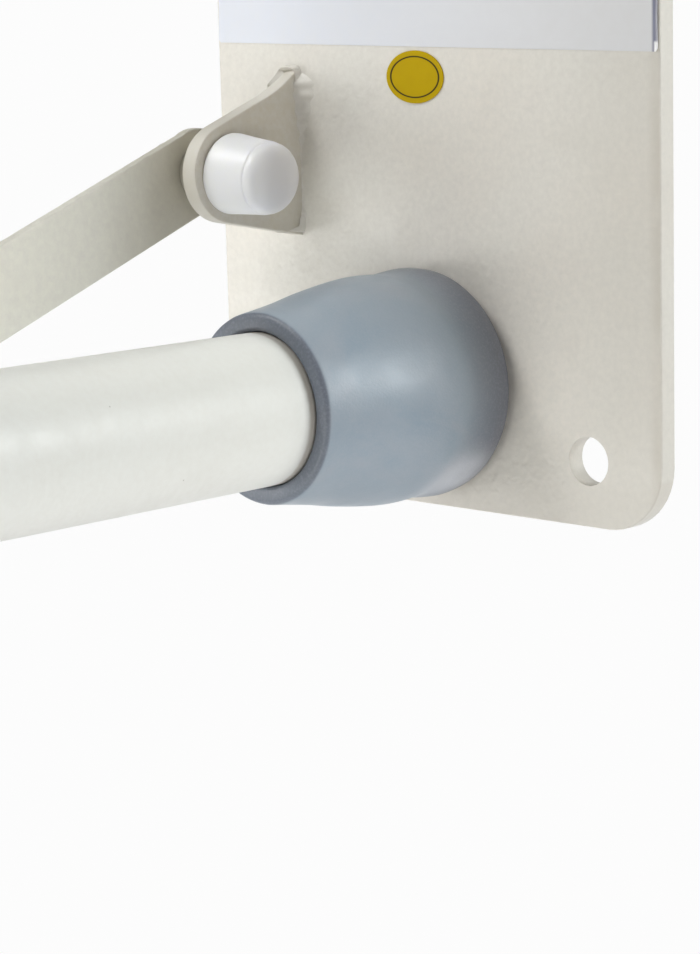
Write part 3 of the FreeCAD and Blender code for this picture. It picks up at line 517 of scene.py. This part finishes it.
STICKER_A, STICKER_B = 6.5 * MM, 4.45 * MM
dress("inspection_sticker", sticker(-1.6 * MM, -41.9 * MM, STICKER_A, STICKER_B, math.radians(1.5)))

# ---- lug and hinge ears: flat plates with an eye and softened edges -----------


def touch(point, radius, sign):
    """Where a line from point touches a circle round the origin."""
    far = math.hypot(*point)
    ang = math.atan2(point[1], point[0]) + sign * math.acos(radius / far)
    return (radius * math.cos(ang), radius * math.sin(ang))


def run(a, b, step=0.35):
    k = max(1, int(math.dist(a, b) / step))
    return [(a[0] + (b[0] - a[0]) * j / k, a[1] + (b[1] - a[1]) * j / k) for j in range(k)]


def bow(a, m, b, k=18):
    """Points of the circle arc through a, m and b."""
    ax, ay, bx, by, cx, cy = *a, *m, *b
    d = 2 * (ax * (by - cy) + bx * (cy - ay) + cx * (ay - by))
    ux = ((ax * ax + ay * ay) * (by - cy) + (bx * bx + by * by) * (cy - ay) + (cx * cx + cy * cy) * (ay - by)) / d
    uy = ((ax * ax + ay * ay) * (cx - bx) + (bx * bx + by * by) * (ax - cx) + (cx * cx + cy * cy) * (bx - ax)) / d
    t0, t1, t2 = (math.atan2(q[1] - uy, q[0] - ux) for q in (a, m, b))
    turn_ccw = (t2 - t0) % (2 * math.pi)
    if (t1 - t0) % (2 * math.pi) > turn_ccw:
        turn_ccw -= 2 * math.pi
    r = math.hypot(a[0] - ux, a[1] - uy)
    return [(ux + r * math.cos(t0 + turn_ccw * j / k), uy + r * math.sin(t0 + turn_ccw * j / k)) for j in range(k)]


def eyed_plate(name, shape, eye, x0, x1, pivot, edge, material, rim=None):
    """A plate in the YZ plane from x0 to x1 whose outline goes once round its
    eye; all in millimetres from the pivot."""
    area = sum(p[0] * q[1] - q[0] * p[1] for p, q in zip(shape, shape[1:] + shape[:1]))
    if area < 0:
        shape = shape[::-1]

    def normals(i):
        n = len(shape)
        p = shape[i]
        out = []
        for a, b in ((shape[i - 1], p), (p, shape[(i + 1) % n])):
            d = math.dist(a, b)
            out.append(((b[1] - a[1]) / d, -(b[0] - a[0]) / d))
        return out

    sharp = []
    for i, p in enumerate(shape):
        u, v = normals(i)
        if u[0] * v[0] + u[1] * v[1] < 0.8:
            sharp.append(p)
    shape = [p for p in shape if p in sharp or all(math.dist(p, q) > 1.4 for q in sharp)]
    n = len(shape)
    outs = []
    for i in range(n):
        u, v = normals(i)
        k = max(0.5, 1 + u[0] * v[0] + u[1] * v[1])
        outs.append(((u[0] + v[0]) / k, (u[1] + v[1]) / k))
    bm = bmesh.new()

    def ring_at(inset, x):
        return [bm.verts.new((x * MM, (pivot[0] + p[0] - o[0] * inset) * MM, (pivot[1] + p[1] - o[1] * inset) * MM))
                for p, o in zip(shape, outs)]

    def eye_at(r, x):
        out = []
        for p in shape:
            d = math.hypot(*p)
            out.append(bm.verts.new((x * MM, (pivot[0] + p[0] / d * r) * MM, (pivot[1] + p[1] / d * r) * MM)))
        return out

    steps = 5
    half = [(edge * (1 - math.sin(math.pi / 2 * k / steps)), edge * (1 - math.cos(math.pi / 2 * k / steps)))
            for k in range(steps + 1)]
    rings = [eye_at(eye, x0 + 0.3), eye_at(eye, x0), eye_at(eye + 0.25, x0), ring_at(edge + 0.12, x0)]
    rings += [ring_at(i, x0 + d) for i, d in half]
    rings += [ring_at(i, x1 - d) for i, d in reversed(half)]
    rings += [ring_at(edge + 0.12, x1), eye_at(eye + 0.25, x1), eye_at(eye, x1), eye_at(eye, x1 - 0.3)]
    for a, b in zip(rings, rings[1:] + rings[:1]):
        for k in range(n):
            j = (k + 1) % n
            bm.faces.new((a[k], a[j], b[j], b[k]))
    bmesh.ops.recalc_face_normals(bm, faces=bm.faces)
    obj = new_object(name, bm, material, "wall_mount")
    if rim is not None:
        obj.data.materials.append(rim)
        for face in obj.data.polygons:
            if abs(face.normal.x) < 0.7:
                face.material_index = 1
    e = obj.modifiers.new("crisp", "EDGE_SPLIT")
    e.split_angle = math.radians(50)
    e.use_edge_sharp = False
    return obj


def middle(node):
    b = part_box(node)
    return (b[0][1] + b[1][1]) / 2 / MM, (b[0][2] + b[1][2]) / 2 / MM


def widths(node):
    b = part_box(node)
    return b[0][0] / MM, b[1][0] / MM


lug_pivot = middle("link_pivot_bolt")
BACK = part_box("wall_plate")[0][1] / MM - lug_pivot[0]
TIP = 8.65
bend, high, low = (BACK - 9.1, 12.4), (BACK, 17.8), (BACK, -12.0)
t_up, t_low = touch(bend, TIP, 1), touch(low, TIP, -1)
lug_shape = (run(low, high) + bow(high, (BACK - 4.3, 14.6), bend) + run(bend, t_up)
             + bow(t_up, (-TIP, 0.0), t_low, 60) + run(t_low, low))
lug = eyed_plate("lug", lug_shape, 3.2, *widths("link_lug"), lug_pivot, 0.28, COAT_SHADE, COAT_RIM)
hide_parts("link_lug")

ear_pivot = middle("hinge_bolt")
half_ear, tip = 26.0, 14.0
e_hi, e_lo = (BACK, half_ear), (BACK, -half_ear)
t_up, t_low = touch(e_hi, tip, 1), touch(e_lo, tip, -1)
ear_shape = (run(e_lo, e_hi) + run(e_hi, t_up) + bow(t_up, (-tip, 0.0), t_low, 60) + run(t_low, e_lo))
for side in ("right", "left"):
    ear = eyed_plate("ear_" + side, ear_shape, 5.1, *widths("hinge_ear_" + side), ear_pivot, 0.35, COAT)
    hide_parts("hinge_ear_" + side)

# ---- wall buffer ferrule ----------------------------------------------------

lo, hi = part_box("wall_buffer_ferrule")
AXIS_X, AXIS_Z = (lo[0] + hi[0]) / 2, (lo[2] + hi[2]) / 2
SOLE = hi[1]
DEEP = (hi[1] - lo[1]) / MM
outer = smooth_points([(19.42, 1.75), (19.62, 2.9), (19.74, 4.3), (19.5, 7.0), (19.2, 10.0), (19.38, 13.5),
                       (19.33, 17.0), (18.75, 22.0), (17.95, 27.0), (16.95, 32.0), (16.15, 37.0),
                       (15.78, DEEP - 1.25)], 6)
lip = [(15.78 - 1.15 * (1 - math.cos(t)), DEEP - 1.25 + 1.25 * math.sin(t))
       for t in [math.radians(a) for a in (15, 30, 45, 60, 75, 90)]]
mouth = [(13.35 - 0.75 * math.sin(t), DEEP - 0.9 + 0.9 * math.cos(t))
         for t in [math.radians(a) for a in (0, 20, 40, 60, 80, 90)]]
foot = [(0.0, 0.0), (16.9, 0.0), (17.9, 0.18), (18.6, 0.62), (19.0, 1.05), (19.06, 1.22), (18.98, 1.38),
        (19.02, 1.52), (19.22, 1.62)]
well = [(12.56, DEEP - 2.5), (12.56, 8.0), (0.0, 8.0)]
ferrule = lathe("wall_buffer", mm(foot + outer + lip + mouth + well), (AXIS_X, SOLE, AXIS_Z), (0, -1, 0),
                RUBBER, "arm", 160, closed=False)
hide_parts("wall_buffer_ferrule")

# ---- nut cover on the lug ---------------------------------------------------

lo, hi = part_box("link_nut_cover")
CAP = Vector((lo[0], (lo[1] + hi[1]) / 2, (lo[2] + hi[2]) / 2))
LONG = (hi[0] - lo[0]) / MM
dome_h = 4.5
neck = LONG - dome_h
cap_profile = [(0.0, 2.2), (5.6, 2.2), (5.6, 0.4), (5.75, 0.08), (6.62, 0.0), (6.90, 0.10), (7.02, 0.34),
               (7.02, 0.8), (6.94, 1.6), (6.77, 3.4), (6.60, 5.4), (6.45, 7.2), (6.36, neck - 0.35),
               (6.31, neck - 0.16), (6.23, neck - 0.06), (6.15, neck + 0.01), (6.15, neck + 0.09),
               (6.19, neck + 0.17)]
for k in range(1, 19):
    t = math.radians(90 * k / 18)
    cap_profile.append((max(0.0, 6.20 * math.cos(t) ** 0.94), neck + 0.2 + (dome_h - 0.85) * math.sin(t)))
cap_profile[-1] = (0.0, LONG - 0.65)
nut_cover = lathe("nut_cover", mm(cap_profile), (0, 0, 0), (1, 0, 0), NYLON_NUT, "wall_mount",
                  112, closed=False)
droop = Matrix.Translation(CAP) @ Matrix.Rotation(math.radians(4.2), 4, "Y")
nut_cover.data.transform(droop)
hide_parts("link_nut_cover")

# ---- label ------------------------------------------------------------------

PLATE_LO, PLATE_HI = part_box("wall_plate")
FACE = PLATE_LO[1]
EDGE = PLATE_HI[0]


def plate_depth(x):
    """How far the rounded plate edge falls back behind the face at x."""
    over = abs(x) - (EDGE - 0.3 * MM)
    if over <= 0:
        return 0.0
    over = min(over, 0.29 * MM)
    return 0.3 * MM - math.sqrt(max(0.0, (0.3 * MM) ** 2 - over ** 2))


def label():
    tall, tilt = 28.0 * MM, math.radians(1.8)
    left, low = -49.75 * MM, -35.3 * MM
    nu, nv, thick = 220, 40, 0.07 * MM
    cut = 0.5 * MM
    bm = bmesh.new()
    grid = []
    for layer in (0, 1):
        rows = []
        for j in range(nv + 1):
            row = []
            for i in range(nu + 1):
                # every row ends just short of the plate's own edge
                w = tall * j / nv
                wide = (49.65 * MM - left - w * math.sin(tilt)) / math.cos(tilt)
                u = wide * i / nu
                # small rounded corners
                du = min(u, wide - u)
                dw = min(w, tall - w)
                if du < cut and dw < cut:
                    k = cut - math.sqrt(max(0.0, cut ** 2 - (cut - du) ** 2))
                    if dw < k:
                        w = k if w < tall / 2 else tall - k
                x = left + u * math.cos(tilt) + w * math.sin(tilt)
                z = low - u * math.sin(tilt) + w * math.cos(tilt)
                lift = 0.02 * MM
                # the right-hand edge has let go and curls off the plate
                t = (x - 48.3 * MM) / (1.2 * MM)
                curl = 0.0
                if t > 0:
                    wave = 0.75 + 0.25 * math.sin(z * 900.0) + 0.2 * noise.noise(Vector((0, 0, z * 400)))
                    curl = 0.20 * MM * min(t, 1.15) ** 1.7 * wave
                y = FACE - lift - curl + (plate_depth(x) if t <= 0 else plate_depth(x) * 0.2)
                y += 0.006 * MM * noise.noise(Vector((x * 160, 3, z * 160)))
                if layer:
                    y -= thick
                row.append(bm.verts.new((x, y, z)))
            rows.append(row)
        grid.append(rows)
    a, b = grid
    for j in range(nv):
        for i in range(nu):
            bm.faces.new((a[j][i], a[j + 1][i], a[j + 1][i + 1], a[j][i + 1]))
            bm.faces.new((b[j][i], b[j][i + 1], b[j + 1][i + 1], b[j + 1][i]))
    for i in range(nu):
        bm.faces.new((a[0][i], a[0][i + 1], b[0][i + 1], b[0][i]))
        bm.faces.new((a[nv][i + 1], a[nv][i], b[nv][i], b[nv][i + 1]))
    for j in range(nv):
        bm.faces.new((a[j + 1][0], a[j][0], b[j][0], b[j + 1][0]))
        bm.faces.new((a[j][nu], a[j + 1][nu], b[j + 1][nu], b[j][nu]))
    bmesh.ops.recalc_face_normals(bm, faces=bm.faces)
    obj = new_object("blank_label", bm, FILM, "wall_mount")
    e = obj.modifiers.new("crisp", "EDGE_SPLIT")
    e.split_angle = math.radians(40)
    e.use_edge_sharp = False
    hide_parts("rating_label")
    return obj


label()

# ---- weld beads -------------------------------------------------------------


def fillet_bead(name, path, material, body, seed, ends=1.2):
    """A concave fillet weld along path: each point is (x, z, out_x, out_z, up, out)
    with the outward direction in the plate's plane, the leg up the upright piece
    and the leg out along the plate, all in millimetres."""
    bm = bmesh.new()
    n = 9
    rows = []
    total = [0.0]
    for p, q in zip(path, path[1:]):
        total.append(total[-1] + math.hypot(q[0] - p[0], q[1] - p[1]))
    for (x, z, ox, oz, rise, out), s in zip(path, total):
        ripple = 1.0 + 0.07 * math.sin(s * 2.4 + seed) + 0.10 * noise.noise(Vector((s * 0.7, seed, 0)))
        fade = min(1.0, (0.12 + min(s, total[-1] - s)) / ends)
        fade = math.sqrt(max(0.0, 1 - (1 - fade) ** 2))
        a, b = rise * ripple * fade, out * ripple * fade
        row = []
        for k in range(n):
            t = k / (n - 1)
            # quarter superellipse between the two feet, a little hollow
            ang = t * math.pi / 2
            u = 1 - math.sin(ang)
            v = 1 - math.cos(ang)
            bulge = 0.12 * math.sin(2 * ang)
            h = a * (u * 1.0 + bulge)
            o = b * (v * 1.0 + bulge)
            row.append(bm.verts.new(((x + ox * (o - 0.25)) * MM, FACE - (h - 0.02) * MM, (z + oz * (o - 0.25)) * MM)))
        # root inside the joint
        row.append(bm.verts.new(((x - ox * 0.7) * MM, FACE + 0.3 * MM, (z - oz * 0.7) * MM)))
        rows.append(row)
    m = len(rows[0])
    for r, q in zip(rows, rows[1:]):
        for k in range(m):
            j = (k + 1) % m
            bm.faces.new((r[k], r[j], q[j], q[k]))
    bm.faces.new(list(reversed(rows[0])))
    bm.faces.new(rows[-1])
    bmesh.ops.recalc_face_normals(bm, faces=bm.faces)
    obj = new_object(name, bm, material, body)
    e = obj.modifiers.new("crisp", "EDGE_SPLIT")
    e.split_angle = math.radians(45)
    e.use_edge_sharp = False
    return obj


def round_path(points, corner_r, step=0.35):
    """Dense path with outward normals along a polyline with rounded corners;
    outward is to the left of travel."""
    dense = []
    pts = [Vector(p[:2]) for p in points]
    sizes = [p[2:] for p in points]
    for i, (p, q) in enumerate(zip(pts, pts[1:])):
        k = max(2, int((q - p).length / step))
        for j in range(k):
            t = j / k
            dense.append((p.lerp(q, t), [a * (1 - t) + b * t for a, b in zip(sizes[i], sizes[i + 1])]))
    dense.append((pts[-1], list(sizes[-1])))
    out = []
    span = max(1, int(corner_r / step))
    for i, (p, s) in enumerate(dense):
        a = dense[max(0, i - span)][0]
        b = dense[min(len(dense) - 1, i + span)][0]
        d = (b - a).normalized()
        c = (a + b + 2 * p) / 4 if 0 < i < len(dense) - 1 else p
        out.append((c.x, c.y, -d.y, d.x, s[0], s[1]))
    return out


lug_lo, lug_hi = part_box("link_lug")
L0, L1 = lug_lo[0] / MM, lug_hi[0] / MM
Z0, Z1 = lug_lo[2] / MM, lug_hi[2] / MM
# travel so that outward (left of travel) points away from the lug
lug_path = round_path([
    (L1, Z1 - 6.0, 0.6, 0.4),
    (L1, Z1 - 3.0, 1.2, 0.7),
    (L1, Z1 - 0.3, 1.5, 1.0),
    (L0, Z1 - 0.3, 1.7, 2.4),
    (L0, Z1 - 1.5, 2.8, 6.0),
    (L0, Z1 - 3.2, 4.4, 7.2),
    (L0, Z1 - 6.8, 4.8, 6.6),
    (L0, (Z0 + Z1) / 2, 3.4, 3.6),
    (L0, Z0 + 5.0, 3.8, 4.0),
    (L0, Z0 + 1.8, 4.4, 4.2),
    (L0, Z0 + 0.9, 4.2, 3.0),
    (L1, Z0 + 0.9, 3.8, 2.6),
    (L1, Z0 + 1.8, 1.4, 0.9),
    (L1, Z0 + 4.0, 0.6, 0.5),
], 1.0)
lug_bead = fillet_bead("lug_weld", lug_path, COAT, "wall_mount", 1.3)
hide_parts("link_lug_welds")

ear_beads = []
for side in (1, -1):
    e_lo, e_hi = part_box("hinge_ear_right" if side > 0 else "hinge_ear_left")
    x_in, x_out = (e_lo[0] / MM, e_hi[0] / MM) if side > 0 else (e_hi[0] / MM, e_lo[0] / MM)
    z0, z1 = e_lo[2] / MM, e_hi[2] / MM
    pts = [(x_in, z1, 1.2, 1.2), (x_out, z1, 2.4, 2.2), (x_out, z1 - 8.0, 2.9, 2.8),
           (x_out, z0 + 8.0, 2.9, 2.8), (x_out, z0, 2.4, 2.2), (x_in, z0, 1.2, 1.2)]
    path = round_path(pts, 1.0)
    if side > 0:
        path = [(x, z, abs(ox) if abs(ox) > 0 else 0.0, oz, a, b) for x, z, ox, oz, a, b in path]
    fixed = []
    mid = (z0 + z1) / 2
    for x, z, ox, oz, a, b in path:
        if ox * side < 0:
            ox = -ox
        if oz * (z - mid) < 0:
            oz = -oz
        fixed.append((x, z, ox, oz, a, b))
    ear_beads.append(fillet_bead("ear_weld_%s" % ("right" if side > 0 else "left"), fixed, COAT,
                                 "wall_mount", 4.0 + side))
for e in ear_beads:
    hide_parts("hinge_ear_welds")

# ---- floor, world and lights ------------------------------------------------

FLOOR_Z = CAD_BOX[0][2]
FLOOR_NEAR, FLOOR_FAR = 0.40, 0.05
WORLD_FILL, WORLD_BACK = 0.02, 0.05
FILL_COLOR, BACK_COLOR = (1.0, 0.97, 0.92), (1.0, 1.0, 1.0)
SOFTBOXES = [
    # name, direction from the object, distance, width, height, watts, colour
    ("left_near", (-0.85, -0.50, 0.00), 0.5, 0.3, 0.3, 0.36, (1.0, 1.0, 0.97)),
    ("left_front_high", (-0.55, -0.55, 0.65), 0.9, 0.7, 0.7, 1.2, (1.0, 1.0, 0.97)),
    ("front_high_small", (-0.40, -0.50, 0.80), 0.7, 0.3, 0.3, 2.3, (1.0, 1.0, 1.0)),
    ("front_low", (-0.15, -0.90, -0.35), 0.7, 0.4, 0.4, 1.60, (1.0, 1.0, 0.95)),
    ("left_low_small", (-0.80, -0.55, -0.20), 0.6, 0.25, 0.25, 0.6, (1.0, 1.0, 1.0)),
    ("back_right", (0.82, 0.44, 0.34), 1.0, 0.42, 0.50, 6.3, (0.95, 0.99, 1.0)),
    ("top", (-0.1, -0.25, 1.0), 1.2, 1.0, 1.0, 1.5, (0.95, 1.0, 1.0)),
    ("right_high", (0.9, -0.2, 0.5), 0.9, 0.7, 0.7, 0.9, (1.0, 0.98, 0.86)),
    ("right_low", (0.9, -0.3, -0.2), 0.9, 0.5, 0.5, 1.5, (1.0, 0.98, 0.98)),
    ("back_low", (-0.47, 0.70, -0.50), 1.2, 0.6, 0.6, 1.3, (1.0, 1.0, 1.0)),
]

bm = bmesh.new()
ring = 96
inner = [bm.verts.new((3.0 * math.cos(2 * math.pi * k / ring), 3.0 * math.sin(2 * math.pi * k / ring), FLOOR_Z))
         for k in range(ring)]
outer_ring = [bm.verts.new((30.0 * math.cos(2 * math.pi * k / ring), 30.0 * math.sin(2 * math.pi * k / ring), FLOOR_Z))
              for k in range(ring)]
bm.faces.new(inner)
for k in range(ring):
    j = (k + 1) % ring
    bm.faces.new((inner[k], outer_ring[k], outer_ring[j], inner[j]))
floor_mesh = bpy.data.meshes.new("floor")
bm.to_mesh(floor_mesh)
bm.free()
floor = bpy.data.objects.new("floor", floor_mesh)
scene.collection.objects.link(floor)
fm = Mat("pale_floor").set(Roughness=0.7)
fm.b.inputs["Base Color"].default_value = (0.86, 0.86, 0.86, 1.0)
dist = fm.t.nodes.new("ShaderNodeVectorMath")
dist.operation = "LENGTH"
fm.link(fm.co, dist.inputs[0])
far = fm.span(dist.outputs["Value"], 0.9, 1.7, FLOOR_NEAR, FLOOR_FAR)
fm.b.inputs["Emission Color"].default_value = (1.0, 1.0, 1.0, 1.0)
fm.link(far, fm.b.inputs["Emission Strength"])
# far out the floor runs into the bright backdrop
glow = fm.t.nodes.new("ShaderNodeEmission")
glow.inputs["Color"].default_value = (0.975, 0.975, 0.975, 1.0)
glow.inputs["Strength"].default_value = 1.0
seen = fm.t.nodes.new("ShaderNodeLightPath")
blend = fm.t.nodes.new("ShaderNodeMixShader")
fm.link(fm.math("MULTIPLY", seen.outputs["Is Camera Ray"], fm.span(dist.outputs["Value"], 0.70, 1.02)), blend.inputs[0])
fm.link(fm.b.outputs[0], blend.inputs[1])
fm.link(glow.outputs[0], blend.inputs[2])
fm.link(blend.outputs[0], fm.out.inputs[0])
floor_mesh.materials.append(fm.m)

world = bpy.data.worlds.new("studio")
scene.world = world
world.use_nodes = True
wt = world.node_tree
wt.nodes.clear()
w_out = wt.nodes.new("ShaderNodeOutputWorld")
w_bg = wt.nodes.new("ShaderNodeBackground")
w_co = wt.nodes.new("ShaderNodeTexCoord")
w_dot = wt.nodes.new("ShaderNodeVectorMath")
w_dot.operation = "DOT_PRODUCT"
w_dot.inputs[1].default_value = Vector((-0.10, 0.95, 0.15)).normalized()
wt.links.new(w_co.outputs["Generated"], w_dot.inputs[0])
w_map = wt.nodes.new("ShaderNodeMapRange")
w_map.interpolation_type = "SMOOTHSTEP"
w_map.inputs["From Min"].default_value = -0.1
w_map.inputs["From Max"].default_value = 0.6
wt.links.new(w_dot.outputs["Value"], w_map.inputs["Value"])
w_col = wt.nodes.new("ShaderNodeMix")
w_col.data_type = "RGBA"
w_col.inputs[6].default_value = (*[WORLD_FILL * v for v in FILL_COLOR], 1.0)
w_col.inputs[7].default_value = (*[WORLD_BACK * v for v in BACK_COLOR], 1.0)
wt.links.new(w_map.outputs[0], w_col.inputs[0])
w_path = wt.nodes.new("ShaderNodeLightPath")
w_mix = wt.nodes.new("ShaderNodeMix")
w_mix.data_type = "RGBA"
wt.links.new(w_path.outputs["Is Camera Ray"], w_mix.inputs[0])
wt.links.new(w_col.outputs[2], w_mix.inputs[6])
w_mix.inputs[7].default_value = (0.975, 0.975, 0.975, 1.0)
wt.links.new(w_mix.outputs[2], w_bg.inputs["Color"])
wt.links.new(w_bg.outputs[0], w_out.inputs[0])

AIM = Vector((0.0, -0.03, -0.07))
for name, way, far_off, wide, tall, power, color in SOFTBOXES:
    if power <= 0:
        continue
    data = bpy.data.lights.new(name, "AREA")
    data.shape = "RECTANGLE"
    data.size, data.size_y = wide, tall
    data.energy = power
    data.color = color
    obj = bpy.data.objects.new(name, data)
    scene.collection.objects.link(obj)
    d = Vector(way).normalized()
    obj.matrix_world = Matrix.Translation(AIM + d * far_off) @ (-d).to_track_quat("-Z", "Y").to_matrix().to_4x4()
    obj.visible_camera = False
